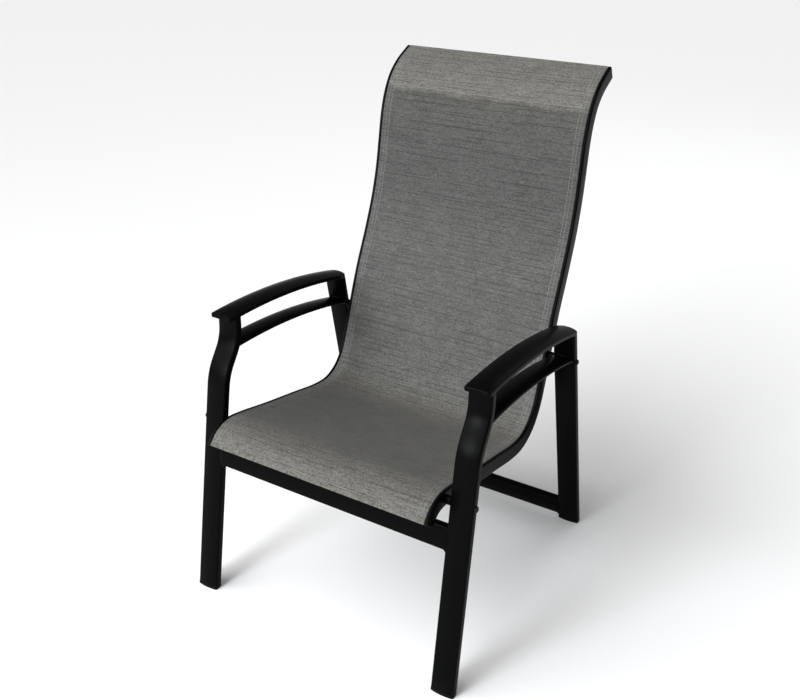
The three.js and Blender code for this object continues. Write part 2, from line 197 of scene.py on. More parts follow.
def flatVector(tree, x, y):
    return addNode(tree, "ShaderNodeCombineXYZ", values={"X": x, "Y": y}).outputs["Vector"]


def splitVector(tree, vector):
    parts = addNode(tree, "ShaderNodeSeparateXYZ", values={"Vector": vector}).outputs
    return parts["X"], parts["Y"]


def makeGroup(name, inputs, outputs):
    group = bpy.data.node_groups.new(name, "ShaderNodeTree")
    for label, value in inputs.items():
        socket = group.interface.new_socket(name=label, in_out="INPUT", socket_type="NodeSocketFloat")
        socket.default_value = value
    for label in outputs:
        group.interface.new_socket(name=label, in_out="OUTPUT", socket_type="NodeSocketFloat")
    return group, group.nodes.new("NodeGroupInput").outputs, group.nodes.new("NodeGroupOutput").inputs


def useGroup(tree, group, values):
    return addNode(tree, "ShaderNodeGroup", {"node_tree": group}, values).outputs


def putOut(group, out, results):
    for label, value in results.items():
        group.links.new(value, out[label])


# Fine orange-peel of a sprayed or moulded skin
grainShape = {"fine": 0.6, "wavy": 0.8, "wavySize": 0.3, "speck": (0.62, 0.72)}


def makeSkinGrain():
    shape = grainShape
    group, source, out = makeGroup(
        "skin grain", {"Grain Size": 900.0, "Cloud Size": 9.0}, ("Height", "Cloud", "Speck"))
    place = coordinates(group, "Object")
    fine = noiseNode(group, place, source["Grain Size"], 2.0, 0.6)
    wavy = noiseNode(group, place, product(group, source["Grain Size"], shape["wavySize"]), 1.0, 0.4)
    fineHeight, wavyHeight = product(group, fine, shape["fine"]), product(group, wavy, shape["wavy"])
    putOut(group, out, {
        "Height": mathNode(group, "ADD", fineHeight, wavyHeight),
        "Cloud": noiseNode(group, place, source["Cloud Size"], 3.0, 0.5),
        "Speck": rangeNode(group, fine, *shape["speck"]),
    })
    return group


# Where edges are rubbed: convex places, broken up by noise
rubShape = {"edge": (0.508, 0.56), "patches": (0.4, 0.7)}


def makeEdgeRub():
    group, source, out = makeGroup("edge rub", {"Amount": 0.5, "Patch Size": 30.0}, ("Mask",))
    convex = addNode(group, "ShaderNodeNewGeometry").outputs["Pointiness"]
    noise = noiseNode(group, coordinates(group, "Object"), source["Patch Size"], 4.0, 0.6)
    edge, patches = rangeNode(group, convex, *rubShape["edge"]), rangeNode(group, noise, *rubShape["patches"])
    putOut(group, out, {"Mask": product(group, edge, patches, source["Amount"])})
    return group


skinGrain = makeSkinGrain()
edgeRub = makeEdgeRub()


def newMaterial(name):
    material = bpy.data.materials.new(name)
    material.use_nodes = True
    return material, material.node_tree, material.node_tree.nodes["Principled BSDF"]


def setShader(tree, shader, values, height, bump, bumpDepth):
    for key, value in values.items():
        setSocket(tree, shader.inputs[key], value)
    node = addNode(tree, "ShaderNodeBump", values={"Height": height, "Strength": bump, "Distance": bumpDepth})
    tree.links.new(node.outputs["Normal"], shader.inputs["Normal"])


def makeSkinMaterial(name, look):
    material, tree, shader = newMaterial(name)
    grain = useGroup(tree, skinGrain, {"Grain Size": look["grainSize"], "Cloud Size": look["cloudSize"]})
    rub = useGroup(tree, edgeRub, {"Amount": look["rub"], "Patch Size": look["patchSize"]})
    tone = mixColours(tree, grain["Cloud"], look["dark"], look["light"])
    tone = mixColours(tree, product(tree, grain["Speck"], look["speck"]), tone, look["worn"])
    setShader(tree, shader, {
        "Base Color": mixColours(tree, rub["Mask"], tone, look["worn"]),
        "Roughness": rangeNode(tree, grain["Cloud"], 0.3, 0.7, look["smooth"], look["rough"]),
        "Metallic": look["metal"],
        "Specular IOR Level": look["shine"],
    }, grain["Height"], look["bump"], look["bumpDepth"])
    return material


powderCoat = makeSkinMaterial("satin powder coat", {
    "dark": (0.001, 0.0011, 0.0011), "light": (0.0016, 0.0017, 0.0017), "worn": (0.007, 0.0073, 0.0078),
    "grainSize": 950.0, "cloudSize": 7.0, "patchSize": 38.0, "rub": 0.35, "speck": 0.1,
    "smooth": 0.29, "rough": 0.37, "metal": 0.0, "shine": 0.031, "bump": 0.25, "bumpDepth": 0.00012})
blackPlastic = makeSkinMaterial("moulded black plastic", {
    "dark": (0.0012, 0.0012, 0.0012), "light": (0.0022, 0.0022, 0.0022), "worn": (0.008, 0.008, 0.008),
    "grainSize": 1500.0, "cloudSize": 25.0, "patchSize": 60.0, "rub": 0.5, "speck": 0.2,
    "smooth": 0.5, "rough": 0.62, "metal": 0.0, "shine": 0.07, "bump": 0.4, "bumpDepth": 0.0001})
blackSteel = makeSkinMaterial("blackened screw steel", {
    "dark": (0.006, 0.006, 0.0065), "light": (0.011, 0.011, 0.012), "worn": (0.05, 0.05, 0.05),
    "grainSize": 2200.0, "cloudSize": 120.0, "patchSize": 300.0, "rub": 0.6, "speck": 0.15,
    "smooth": 0.3, "rough": 0.42, "metal": 0.5, "shine": 0.15, "bump": 0.2, "bumpDepth": 0.00006})


# Woven vinyl mesh: coated yarns both ways, with long dark slubs in thick picks and light ones between
weaveShape = {
    "lift": (0.55, 0.45),
    "crossing": 0.08,
    "weftNoise": (55.0, 0.83),  # stretch along the yarn, and shift from one yarn to the next
    "warpNoise": (130.0, 0.71),
    "grainWidth": 2.0,
    "grainSpan": 0.26,
    "bundle": 4.0,  # one pick in so many is a thick one
    "slubs": {"Dark Slub": (7.31, (0.4, 0.56)), "Light Slub": (5.17, (0.58, 0.64))},
    "hole": (0.42, 0.2),
}


def makeMeshWeave():
    shape = weaveShape
    group, source, out = makeGroup(
        "mesh weave", {"Pitch": 0.0016, "Slub Pitch": 0.0024, "Slub Length": 0.05},
        ("Height", "Tone", "Dark Slub", "Light Slub", "Hole Shade"))
    across, along = splitVector(group, coordinates(group, "UV"))
    warp, weft = (mathNode(group, "DIVIDE", way, source["Pitch"]) for way in (across, along))
    warpNumber, weftNumber = (mathNode(group, "FLOOR", yarn) for yarn in (warp, weft))
    warpRound, weftRound = halfWave(group, warp), halfWave(group, weft)
    turn = product(group, mathNode(group, "ADD", warpNumber, weftNumber), math.pi)
    over = mathNode(group, "MULTIPLY_ADD", mathNode(group, "COSINE", turn), 0.5, 0.5)
    under = mathNode(group, "SUBTRACT", 1.0, over)
    warpLift = mathNode(group, "MULTIPLY_ADD", product(group, over, weftRound), *shape["lift"])
    weftLift = mathNode(group, "MULTIPLY_ADD", product(group, under, warpRound), *shape["lift"])
    warpHeight, weftHeight = product(group, warpRound, warpLift), product(group, weftRound, weftLift)
    height = mathNode(group, "MAXIMUM", warpHeight, weftHeight)
    above = mathNode(group, "SUBTRACT", warpHeight, weftHeight)
    onTop = rangeNode(group, above, -shape["crossing"], shape["crossing"])

    (weftStretch, weftShift), (warpStretch, warpShift) = shape["weftNoise"], shape["warpNoise"]
    weftWay = flatVector(group, product(group, across, weftStretch), product(group, weftNumber, weftShift))
    warpWay = flatVector(group, product(group, warpNumber, warpShift), product(group, along, warpStretch))
    tone = addNode(group, "ShaderNodeMix", {"data_type": "FLOAT"}, {
        0: onTop, 2: noiseNode(group, weftWay, 1.0, 2.0, 0.6), 3: noiseNode(group, warpWay, 1.0, 2.0, 0.6)})
    column = mathNode(group, "FLOOR", mathNode(group, "DIVIDE", warp, shape["grainWidth"]))
    grain = addNode(group, "ShaderNodeTexWhiteNoise", {"noise_dimensions": "2D"}, {
        "Vector": flatVector(group, column, weftNumber)})
    span = shape["grainSpan"]
    grainy = mathNode(group, "MULTIPLY_ADD", grain.outputs["Value"], span, -span / 2)

    pick = mathNode(group, "DIVIDE", along, source["Slub Pitch"])
    pickRound, pickNumber = halfWave(group, pick), mathNode(group, "FLOOR", pick)
    bundle = mathNode(group, "FLOOR", mathNode(group, "DIVIDE", pickNumber, shape["bundle"]))
    chance = addNode(group, "ShaderNodeTexWhiteNoise", {"noise_dimensions": "1D"}, {"W": bundle})
    chosen = mathNode(group, "FLOOR", product(group, chance.outputs["Value"], shape["bundle"] - 0.001))
    within = mathNode(group, "SUBTRACT", pickNumber, product(group, bundle, shape["bundle"]))
    apart = mathNode(group, "ABSOLUTE", mathNode(group, "SUBTRACT", within, chosen))
    thickPick = mathNode(group, "LESS_THAN", apart, 0.5)
    results = {"Height": height, "Tone": mathNode(group, "ADD", tone.outputs[0], grainy),
               "Hole Shade": rangeNode(group, height, *shape["hole"])}
    for label, (shift, limits) in shape["slubs"].items():
        way = flatVector(group, mathNode(group, "DIVIDE", across, source["Slub Length"]),
                         product(group, pickNumber, shift))
        share = rangeNode(group, noiseNode(group, way, 1.0, 3.0, 0.45), *limits)
        if label == "Dark Slub":
            share = product(group, share, thickPick)
        results[label] = product(group, share, pickRound)
    putOut(group, out, results)
    return group


meshWeave = makeMeshWeave()
clothLook = {
    "pitch": 0.0016,
    "slubPitch": 0.0024,
    "slubLength": 0.13,
    "yarns": ((0.088, 0.0885, 0.086), (0.262, 0.26, 0.25)),
    "spots": {  # colour and share
        "Dark Slub": ((0.035, 0.036, 0.036), 0.62),
        "Light Slub": ((0.34, 0.34, 0.33), 0.26),
        # painted shade: the gaps of the weave are coloured near black, as the dark seen through them
        "Hole Shade": ((0.02, 0.02, 0.02), 0.5),
    },
    "quiet": ((0.12, 0.12, 0.114), 0.55),  # the middle of the seat, given a smoother, darker tone
    "quietFront": (0.075, 0.125),
    "quietBack": (0.44, 0.4),
    "quietSide": (0.225, 0.195),
    "wanderSize": 14.0,
    "wander": 0.09,
    "hemWander": 0.3,
    "singleShade": 0.545,  # painted shade: one layer lets the dark behind it through its holes
    "sideShade": 0.625,
    "doubleShade": 0.94,
    "frontHem": (0.15, 0.02),
    "frontShare": 0.42,
    "topHem": (1.155, 1.18),
    "sideHem": (0.23, 0.234),
    "paintedShadeTop": (0.8, 0.97),  # painted shade up the back, and painted light at the bend and the rear of the seat
    "paintedShadeShare": 0.21,
    "paintedLightBack": (0.74, 0.5),
    "paintedLightSeat": (0.34, 0.44),
    "paintedLightShare": 0.18,
    "warmTop": (1.05, 1.2),
    "warmSeat": (0.56, 0.42),
    "tints": ((0.99, 1.0, 0.985), (1.03, 1.0, 0.93)),
    "patchSize": 22.0,
    "patches": (0.93, 1.07),
    "rough": 0.72,
    "shine": 0.2,
    "sheen": 0.1,
    "sheenRough": 0.5,
    "bump": 0.45,
    "bumpDepth": 0.0004,
}


def makeClothMaterial():
    look = clothLook
    material, tree, shader = newMaterial("woven sling mesh")
    weave = useGroup(tree, meshWeave, {
        "Pitch": look["pitch"], "Slub Pitch": look["slubPitch"], "Slub Length": look["slubLength"]})
    uv = coordinates(tree, "UV")
    across, along = splitVector(tree, uv)
    fromMiddle = mathNode(tree, "ABSOLUTE", across)

    def band(value, label):
        return rangeNode(tree, value, *look[label])

    tone = mixColours(tree, rangeNode(tree, weave["Tone"], 0.2, 0.8), *look["yarns"])
    for label, (colour, share) in look["spots"].items():
        tone = mixColours(tree, product(tree, weave[label], share), tone, colour)
    noise = noiseNode(tree, uv, look["wanderSize"], 4.0, 0.6)
    wander = mathNode(tree, "MULTIPLY_ADD", noise, look["wander"], -look["wander"] / 2)
    edge, side = (mathNode(tree, "ADD", way, wander) for way in (along, fromMiddle))
    colour, share = look["quiet"]
    quiet = product(tree, band(edge, "quietFront"), band(edge, "quietBack"), band(side, "quietSide"), share)
    tone = mixColours(tree, quiet, tone, colour)

    soft = mathNode(tree, "MULTIPLY_ADD", wander, look["hemWander"], along)
    sidePart = (look["sideShade"] - look["singleShade"]) / (look["doubleShade"] - look["singleShade"])
    atFront = product(tree, band(soft, "frontHem"), look["frontShare"])
    atEnds = mathNode(tree, "MAXIMUM", atFront, band(soft, "topHem"))
    layers = mathNode(tree, "MAXIMUM", atEnds, product(tree, band(fromMiddle, "sideHem"), sidePart))
    shade = rangeNode(tree, layers, 0.0, 1.0, look["singleShade"], look["doubleShade"])
    # Painted shade darkens the upper back; painted light brightens the bend and the rear of the seat
    paintedShade = product(tree, band(along, "paintedShadeTop"), look["paintedShadeShare"])
    paintedLight = product(tree, band(along, "paintedLightBack"), band(along, "paintedLightSeat"), look["paintedLightShare"])
    paintedLightAndShade = mathNode(tree, "ADD", mathNode(tree, "SUBTRACT", 1.0, paintedShade), paintedLight)
    warm = mathNode(tree, "MAXIMUM", band(along, "warmTop"), band(along, "warmSeat"))
    tint = mixColours(tree, warm, *look["tints"])
    patches = rangeNode(tree, noiseNode(tree, uv, look["patchSize"], 3.0, 0.6), 0.3, 0.7, *look["patches"])
    for factor in (tint, product(tree, shade, paintedLightAndShade), patches):
        tone = mixColours(tree, 1.0, tone, factor, "MULTIPLY")
    setShader(tree, shader, {
        "Base Color": tone, "Roughness": look["rough"], "Specular IOR Level": look["shine"],
        "Sheen Weight": look["sheen"], "Sheen Roughness": look["sheenRough"],
    }, weave["Height"], look["bump"], look["bumpDepth"])
    return material


threadLook = {
    "tones": ((0.22, 0.22, 0.21), (0.38, 0.38, 0.36)),
    "twistSize": 2500.0,
    "rough": 0.6,
    "bump": 0.4,
    "bumpDepth": 0.0001,
}


def makeThreadMaterial():
    look = threadLook
    material, tree, shader = newMaterial("pale stitching thread")
    twist = noiseNode(tree, coordinates(tree, "Object"), look["twistSize"], 2.0, 0.5)
    values = {"Base Color": mixColours(tree, twist, *look["tones"]), "Roughness": look["rough"]}
    setShader(tree, shader, values, twist, look["bump"], look["bumpDepth"])
    return material


# A finish is a material with its slot
coat = (powderCoat, "powder_coat")
plastic = (blackPlastic, "black_plastic")
steel = (blackSteel, "black_steel")
weaving = (makeClothMaterial(), "sling_mesh")
thread = (makeThreadMaterial(), None)
print("materials ready")


# Mesh helpers: everything is worked out in millimetres and in the frame's own place
sharpAngle = math.radians(38.0)


def makePiece(name, vertices, faces, finish, nodes=None, uvs=None):
    name = name.replace(" ", "_")
    material, slot = finish
    mesh = bpy.data.meshes.new(name)
    mesh.from_pydata([tuple(v) for v in np.asarray(vertices, float) * mm], [], [tuple(f) for f in faces])
    mesh.validate()
    if uvs is not None:
        layer = mesh.uv_layers.new(name="UVMap")
        index = np.empty(len(mesh.loops), dtype=np.int32)
        mesh.loops.foreach_get("vertex_index", index)
        layer.data.foreach_set("uv", (np.asarray(uvs)[index] * mm).astype(np.float32).ravel())
    mesh.materials.append(material)
    piece = bpy.data.objects.new(name, mesh)
    scene.collection.objects.link(piece)
    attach(piece, "root")
    nodes = [name] if nodes is None else nodes  # most pieces replace the node of their own name
    if nodes:
        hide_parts(*nodes)
    mesh.polygons.foreach_set("use_smooth", [True] * len(mesh.polygons))
    mesh.set_sharp_from_angle(angle=sharpAngle)
    return piece


def ringFaces(rings, count):
    faces = []
    for i in range(rings - 1):
        for j in range(count):
            a, b = i * count + j, i * count + (j + 1) % count
            faces.append((a, b, b + count, a + count))
    return faces


def tubeFaces(rings, count):
    last = (rings - 1) * count
    return ringFaces(rings, count) + [tuple(range(count))[::-1], tuple(range(last, last + count))]


def turnedOutward(vertices, faces):
    v = np.asarray(vertices, float)
    centre = v.mean(axis=0)
    volume = 0.0
    for f in faces:
        for k in range(1, len(f) - 1):
            a, b, c = v[f[0]] - centre, v[f[k]] - centre, v[f[k + 1]] - centre
            volume += float(np.dot(a, np.cross(b, c)))
    return faces if volume > 0 else [tuple(reversed(f)) for f in faces]


def placedGrid(name, grid, centre, finish, nodes=None):
    grid = np.asarray(grid)
    vertices = grid.reshape(-1, 3) + np.array([centre, 0, 0])
    return makePiece(name, vertices, turnedOutward(vertices, tubeFaces(*grid.shape[:2])), finish, nodes)


def bellCurve(spread, step):
    reach = int(4 * spread / step)
    kernel = np.exp(-0.5 * (np.arange(-reach, reach + 1) * step / spread) ** 2)
    return kernel / kernel.sum(), reach


def smoothed(padded, kernel):
    return np.stack([np.convolve(column, kernel, mode="valid") for column in padded.T], 1)


def gaussSmooth(values, spread, step):
    kernel, reach = bellCurve(spread, step)
    ahead = 2 * values[0] - values[reach:0:-1]
    behind = 2 * values[-1] - values[-2:-reach - 2:-1]
    return smoothed(np.vstack([ahead, values, behind]), kernel)


def resample(points, step):
    gaps = np.hypot(*np.diff(points, axis=0).T)
    lengths = np.concatenate([[0], np.cumsum(gaps)])
    count = max(2, int(round(lengths[-1] / step)) + 1)
    wanted = np.linspace(0, lengths[-1], count)
    return np.stack([np.interp(wanted, lengths, points[:, k]) for k in range(points.shape[1])], 1), wanted


def bezier(a, b, c, d, count):
    t = np.linspace(0, 1, count)[:, None]
    a, b, c, d = (np.array(p, float) for p in (a, b, c, d))
    return (1 - t) ** 3 * a + 3 * (1 - t) ** 2 * t * b + 3 * (1 - t) * t ** 2 * c + t ** 3 * d


def tangentsOf(line):
    t = np.gradient(line, axis=0)
    return t / np.hypot(*t.T)[:, None]


def smoothStep(t):
    return t * t * (3 - 2 * t)


# How far a rounded corner stands back at a distance from its end
def roundedIn(radius, distance):
    return radius - np.sqrt(radius ** 2 - np.clip(radius - distance, 0.0, radius) ** 2)


# The CAD's sling line and the places that follow from it
sling = {
    "depth": 800.0,
    "height": 1077.0,
    "width": 520.0,
    "smoothing": 7.0,
    "step": 4.0,
    "perSegment": 60,
    "frontBoltShare": 0.1499,
    "rearBoltShare": 0.5375,
    "topSpreaderShare": 0.05,
    "boltDrop": 16.568,
    "chamberMiddle": 20.684,
    "lineShares": [
        (0.002, 0.3565), (0.017, 0.3695), (0.0425, 0.3798), (0.0775, 0.3833), (0.135, 0.376), (0.23, 0.3584),
        (0.375, 0.3343), (0.468, 0.3189), (0.525, 0.3166), (0.57, 0.3296), (0.603, 0.3556), (0.6275, 0.3946),
        (0.664, 0.4698), (0.704, 0.5446), (0.7505, 0.6174), (0.7915, 0.6908), (0.817, 0.7567),
        (0.832, 0.8171),
        (0.846, 0.8728), (0.865, 0.9146), (0.8935, 0.9499), (0.9375, 0.9777), (0.9975, 1.0)],
}


def centripetalLine(points, perSegment):
    p = np.asarray(points, float)
    p = np.vstack([2 * p[0] - p[1], p, 2 * p[-1] - p[-2]])
    line = []
    for i in range(1, len(p) - 2):
        quad = p[i - 1:i + 3]
        d = np.sqrt(np.hypot(*np.diff(quad, axis=0).T))
        t1 = (quad[1] - quad[0]) / d[0] - (quad[2] - quad[0]) / (d[0] + d[1]) + (quad[2] - quad[1]) / d[1]
        t2 = (quad[2] - quad[1]) / d[1] - (quad[3] - quad[1]) / (d[1] + d[2]) + (quad[3] - quad[2]) / d[2]
        t1, t2 = t1 * d[1], t2 * d[1]
        t = np.linspace(0, 1, perSegment, endpoint=False)[:, None]
        line.append(quad[1] + t1 * t + (-3 * quad[1] + 3 * quad[2] - 2 * t1 - t2) * t ** 2
                    + (2 * quad[1] - 2 * quad[2] + t1 + t2) * t ** 3)
    return np.vstack(line + [p[-2:-1]])


def slingLines():
    points = [(a * sling["depth"], b * sling["height"]) for a, b in sling["lineShares"]]
    rough = centripetalLine(points, sling["perSegment"])
    tangents = tangentsOf(rough)

    def under(share, drop):
        at = share * (len(rough) - 1)
        i = int(at)
        p = rough[i] + (at - i) * (rough[min(i + 1, len(rough) - 1)] - rough[i])
        t = tangents[i]
        return np.array([p[0] + t[1] * drop, p[1] - t[0] * drop])

    even, _ = resample(rough, 1.0)
    smooth = gaussSmooth(even, sling["smoothing"], 1.0)
    smooth[0], smooth[-1] = even[0], even[-1]
    line, lengths = resample(smooth, sling["step"])
    return line, lengths, under


slingLine, slingLengths, underSling = slingLines()
frontBolt = underSling(sling["frontBoltShare"], sling["boltDrop"])
rearBolt = underSling(sling["rearBoltShare"], sling["boltDrop"])
topWeld = underSling(1 - sling["topSpreaderShare"], sling["chamberMiddle"])
lowSpreader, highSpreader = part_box("rear_spreader")
shiftBack = (lowSpreader.y + highSpreader.y) / 2 / mm - rearBolt[0]  # CAD's y less the line's own y
slingLine[:, 0] += shiftBack
frontBolt[0] += shiftBack
rearBolt[0] += shiftBack
topWeld[0] += shiftBack
slingTangents = tangentsOf(slingLine)
print("lines ready, length %.0f mm" % slingLengths[-1])


# A section of (x, n) points, n square to the line and towards the sitter, swept along a (y, z) line
def sweepPoints(section, line):
    t = tangentsOf(line)
    x, n = np.asarray(section, float).T
    y = line[:, 0:1] - t[:, 1:2] * n[None, :]
    z = line[:, 1:2] + t[:, 0:1] * n[None, :]
    return np.stack([np.broadcast_to(x, y.shape), y, z], 2)


def arc(cx, cy, radius, start, end, count):
    turns = np.radians(np.linspace(start, end, count))
    return [(cx + radius * math.cos(a), cy + radius * math.sin(a)) for a in turns]


# Sling rails
rail = {
    "width": 24.0,
    "depth": 30.0,
    "corner": 3.0,
    "lipRise": 1.8,
    "lipWidth": 7.0,
    "lipRound": 3.2,
    "mouthWidth": 2.4,
    "mouthDepth": 1.8,
    "mouthRound": 1.0,
    "mouthFall": 1.6,
    "mouthFoot": 0.8,
    "channelRadius": 4.6,
}
railOuter = sling["width"] / 2
railInner = railOuter - rail["width"]
mouthOuter = railOuter - rail["lipWidth"]
mouthInner = mouthOuter - rail["mouthWidth"]
mouthMiddle = (mouthOuter + mouthInner) / 2
channelDrop = rail["mouthDepth"] + rail["channelRadius"]


def railSection():
    r, d, lip, lipRound = rail["corner"], rail["depth"], rail["lipRise"], rail["lipRound"]
    high, foot = rail["mouthRound"], rail["mouthFoot"]
    half = math.degrees(math.asin(rail["mouthWidth"] / 2 / rail["channelRadius"]))
    section = arc(railInner + r, r - d, r, 180, 270, 6)
    section += arc(railOuter - r, r - d, r, 270, 360, 6)
    section += arc(railOuter - lipRound, lip - lipRound, lipRound, 0, 90, 9)
    section += arc(mouthOuter + high, lip - rail["mouthFall"], high, 90, 180, 5)
    section += arc(mouthMiddle, -channelDrop, rail["channelRadius"], 90 - half, half - 270, 18)
    section += arc(mouthInner - foot, -foot, foot, 0, 90, 4)
    section += arc(railInner + r, -r, r, 90, 180, 6)
    return section


def makeSlingRails():
    for name, side in sides:
        section = [(side * x, n) for x, n in railSection()]
        placedGrid("sling rail " + name, sweepPoints(section, slingLine), 0.0, coat)


makeSlingRails()
print("rails ready")


# Drawn bars: smooth closed outlines from the same crowned section as the CAD's
def quadCurve(a, b, c, count):
    t = np.linspace(0, 1, count, endpoint=False)[:, None]
    a, b, c = (np.array(p, float) for p in (a, b, c))
    return (1 - t) ** 2 * a + 2 * (1 - t) * t * b + t ** 2 * c


def crownedOutline(width, edge, crown, corner):
    w, e, crest = width / 2, edge / 2, edge / 2 + 2 * crown
    parts = [
        quadCurve((corner - w, e), (0, crest), (w - corner, e), 60),
        quadCurve((w - corner, e), (w, e), (w, e - corner), 12),
        quadCurve((w, e - corner), (w, 0), (w, corner - e), 8),
        quadCurve((w, corner - e), (w, -e), (w - corner, -e), 12),
        quadCurve((w - corner, -e), (0, -crest), (corner - w, -e), 60),
        quadCurve((corner - w, -e), (-w, -e), (-w, corner - e), 12),
        quadCurve((-w, corner - e), (-w, 0), (-w, e - corner), 8),
        quadCurve((-w, e - corner), (-w, e), (corner - w, e), 12),
    ]
    return np.vstack(parts)


# Points gather where the outline turns
outlineShape = {"step": 0.2, "reach": 4, "window": 9, "least": 0.35}


def softOutline(points, spread, count):
    even, lengths = resample(np.vstack([points, points[:1]]), outlineShape["step"])
    even = even[:-1]
    kernel, around = bellCurve(spread, lengths[1])
    soft = smoothed(np.vstack([even[-around:], even, even[:around]]), kernel)
    reach, window = outlineShape["reach"], outlineShape["window"]
    ahead, behind = np.roll(soft, -reach, axis=0) - soft, soft - np.roll(soft, reach, axis=0)
    turns = np.abs(ahead[:, 0] * behind[:, 1] - ahead[:, 1] * behind[:, 0])
    turns /= np.hypot(*ahead.T) * np.hypot(*behind.T)
    spreadTurns = np.convolve(np.tile(turns, 3), np.ones(window) / window, mode="same")
    weight = outlineShape["least"] + spreadTurns[len(turns):2 * len(turns)] * window
    total = np.concatenate([[0], np.cumsum(weight)])
    wanted = np.linspace(0, total[-1], count, endpoint=False)
    at = np.interp(wanted, total, np.arange(len(total))) % len(soft)
    index = at.astype(int)
    part = (at - index)[:, None]
    return soft[index] * (1 - part) + soft[(index + 1) % len(soft)] * part


bar = {
    "width": 50.2,
    "edge": 18.2,
    "crown": 1.7,
    "corner": 5.0,
    "soften": 0.9,
    "points": 72,
    "frontCentre": 295.9,
    "rearCentre": 299.1,
    "frontLean": 0.16,
    "rearLean": 0.213,
    "upperLeg": 20.0,
    "kneeHeight": 125.0,
    "kneeOffset": 29.4,
    "kneeSoften": 5.0,
    "lowEnd": 40.0,
    "frontSpare": 12.0,
    "rearEnd": 535.0,
    "glideTop": 6.3,
}
arm = {
    "width": 54.2,
    "centre": 297.5,
    "edge": 9.5,
    "crown": 4.5,
    "nose": 26.7,
    "tail": 11.0,
    "frontRise": 216.7,
    "backRise": 68.2,
    "arch": 31.0,
    "noseCorner": 5.0,
    "tailCorner": 6.0,
    "roll": 2.6,
    "tailBow": 4.0,
    "tailBowWidth": 31.0,
    "tailBlend": 30.0,
    "noseFlat": 42.0,
    "noseCrown": 0.35,
    "tailSpare": 0.4,
    "tailMiddle": 7.0,  # height over the underside where the nearness to the rear leg is taken
    "noseStops": [3.4, 4.2, 5.0, 8.0],
    "lowRound": 1.5,
    "seam": 0.45,  # share of the edge where the rolled top and bottom meet
    "rollTop": 1.15,
    "rollLow": 0.5,
}


def frontLegY(z):
    return frontBolt[0] + bar["frontLean"] * (z - frontBolt[1])


def rearLegY(z):
    return rearBolt[0] - bar["rearLean"] * (z - rearBolt[1])


armFrontHeight = frontBolt[1] + arm["frontRise"]
armBackHeight = rearBolt[1] + arm["backRise"]
kneeEnd = armFrontHeight - bar["upperLeg"]
kneeStart = kneeEnd - bar["kneeHeight"]
kneeMiddle = kneeEnd - bar["kneeHeight"] / 2
upperLegY = frontLegY(kneeEnd) + bar["kneeOffset"]
armFront = upperLegY - arm["nose"]
armBack = rearLegY(armBackHeight) + arm["tail"]
armCrest = (armFrontHeight + armBackHeight) / 2 + arm["arch"]


def armUnder(y):
    t = (np.asarray(y, float) - armFront) / (armBack - armFront)
    return (1 - t) ** 2 * armFrontHeight + 2 * t * (1 - t) * armCrest + t ** 2 * armBackHeight


def slideTo(ring, along, surface):
    ring = ring.copy()
    for _ in range(8):
        ring += ((surface(ring[:, 1]) - ring[:, 2]) / along[2])[:, None] * along[None, :]
    return ring


def barSection(width):
    outline = crownedOutline(width, bar["edge"], bar["crown"], bar["corner"])
    return softOutline(outline, bar["soften"], bar["points"])


barOutline = barSection(bar["width"])
frontFaces = (bar["frontCentre"] - bar["width"] / 2, bar["frontCentre"] + bar["width"] / 2)
rearFaces = (bar["rearCentre"] - bar["width"] / 2, bar["rearCentre"] + bar["width"] / 2)


def legGrid(line):
    grid = sweepPoints(barOutline, line)
    ends = []
    for at, beside, surface in ((0, 1, lambda y: np.full_like(y, bar["glideTop"])), (-1, -2, armUnder)):
        along = line[at] - line[beside]
        along = np.array([0.0, *(along / np.hypot(*along))])
        ends.append(slideTo(grid[at], along, surface))
    return np.concatenate([ends[0][None], grid, ends[1][None]])


def frontLegLine():
    knee = bezier((frontLegY(kneeStart), kneeStart), (frontLegY(kneeMiddle), kneeMiddle),
                  (upperLegY, kneeMiddle), (upperLegY, kneeEnd), 60)
    low, high = (frontLegY(bar["lowEnd"]), bar["lowEnd"]), (upperLegY, kneeEnd + bar["frontSpare"])
    even, _ = resample(np.vstack([[low], knee, [high]]), 2.0)
    return gaussSmooth(even, bar["kneeSoften"], 2.0)


def rearLegLine():
    return np.array([(rearLegY(z), z) for z in np.linspace(bar["lowEnd"], bar["rearEnd"], 30)])


# The foot: a plastic glide with a rounded lower rim and a stem up the bar
glide = {"height": 6.0, "round": 1.6, "rim": 0.5, "bevel": 0.4,
         "stemTop": 24.0, "stemInset": 2.6, "outset": 0.25}


def makeGlide(name, centre, legY, lean):
    r, height, stem = glide["round"], glide["height"], glide["stemInset"]
    rings = [(r * (1 - math.sin(a)), r * (1 - math.cos(a))) for a in np.radians(np.linspace(0, 90, 5))]
    rings += [(0.0, height - glide["rim"]), (glide["bevel"], height), (stem, height)]
    rings.append((stem, glide["stemTop"]))
    grid = []
    for inset, z in rings:
        x, n = barOutline.T
        x = x * (1 - (inset - glide["outset"]) / (bar["width"] / 2))
        n = n * (1 - (inset - glide["outset"]) / (bar["edge"] / 2 + bar["crown"]))
        grid.append(np.stack([x, legY(z) + n * math.hypot(1, lean), np.full_like(x, z)], 1))
    placedGrid(name, grid, centre, plastic)


def makeLegs():
    for name, side in sides:
        front, rear = side * bar["frontCentre"], side * bar["rearCentre"]
        placedGrid("front leg " + name, legGrid(frontLegLine()), front, coat)
        placedGrid("rear leg " + name, legGrid(rearLegLine()), rear, coat)
        makeGlide("front glide " + name, front, frontLegY, bar["frontLean"])
        makeGlide("rear glide " + name, rear, rearLegY, bar["rearLean"])


makeLegs()
print("legs ready")


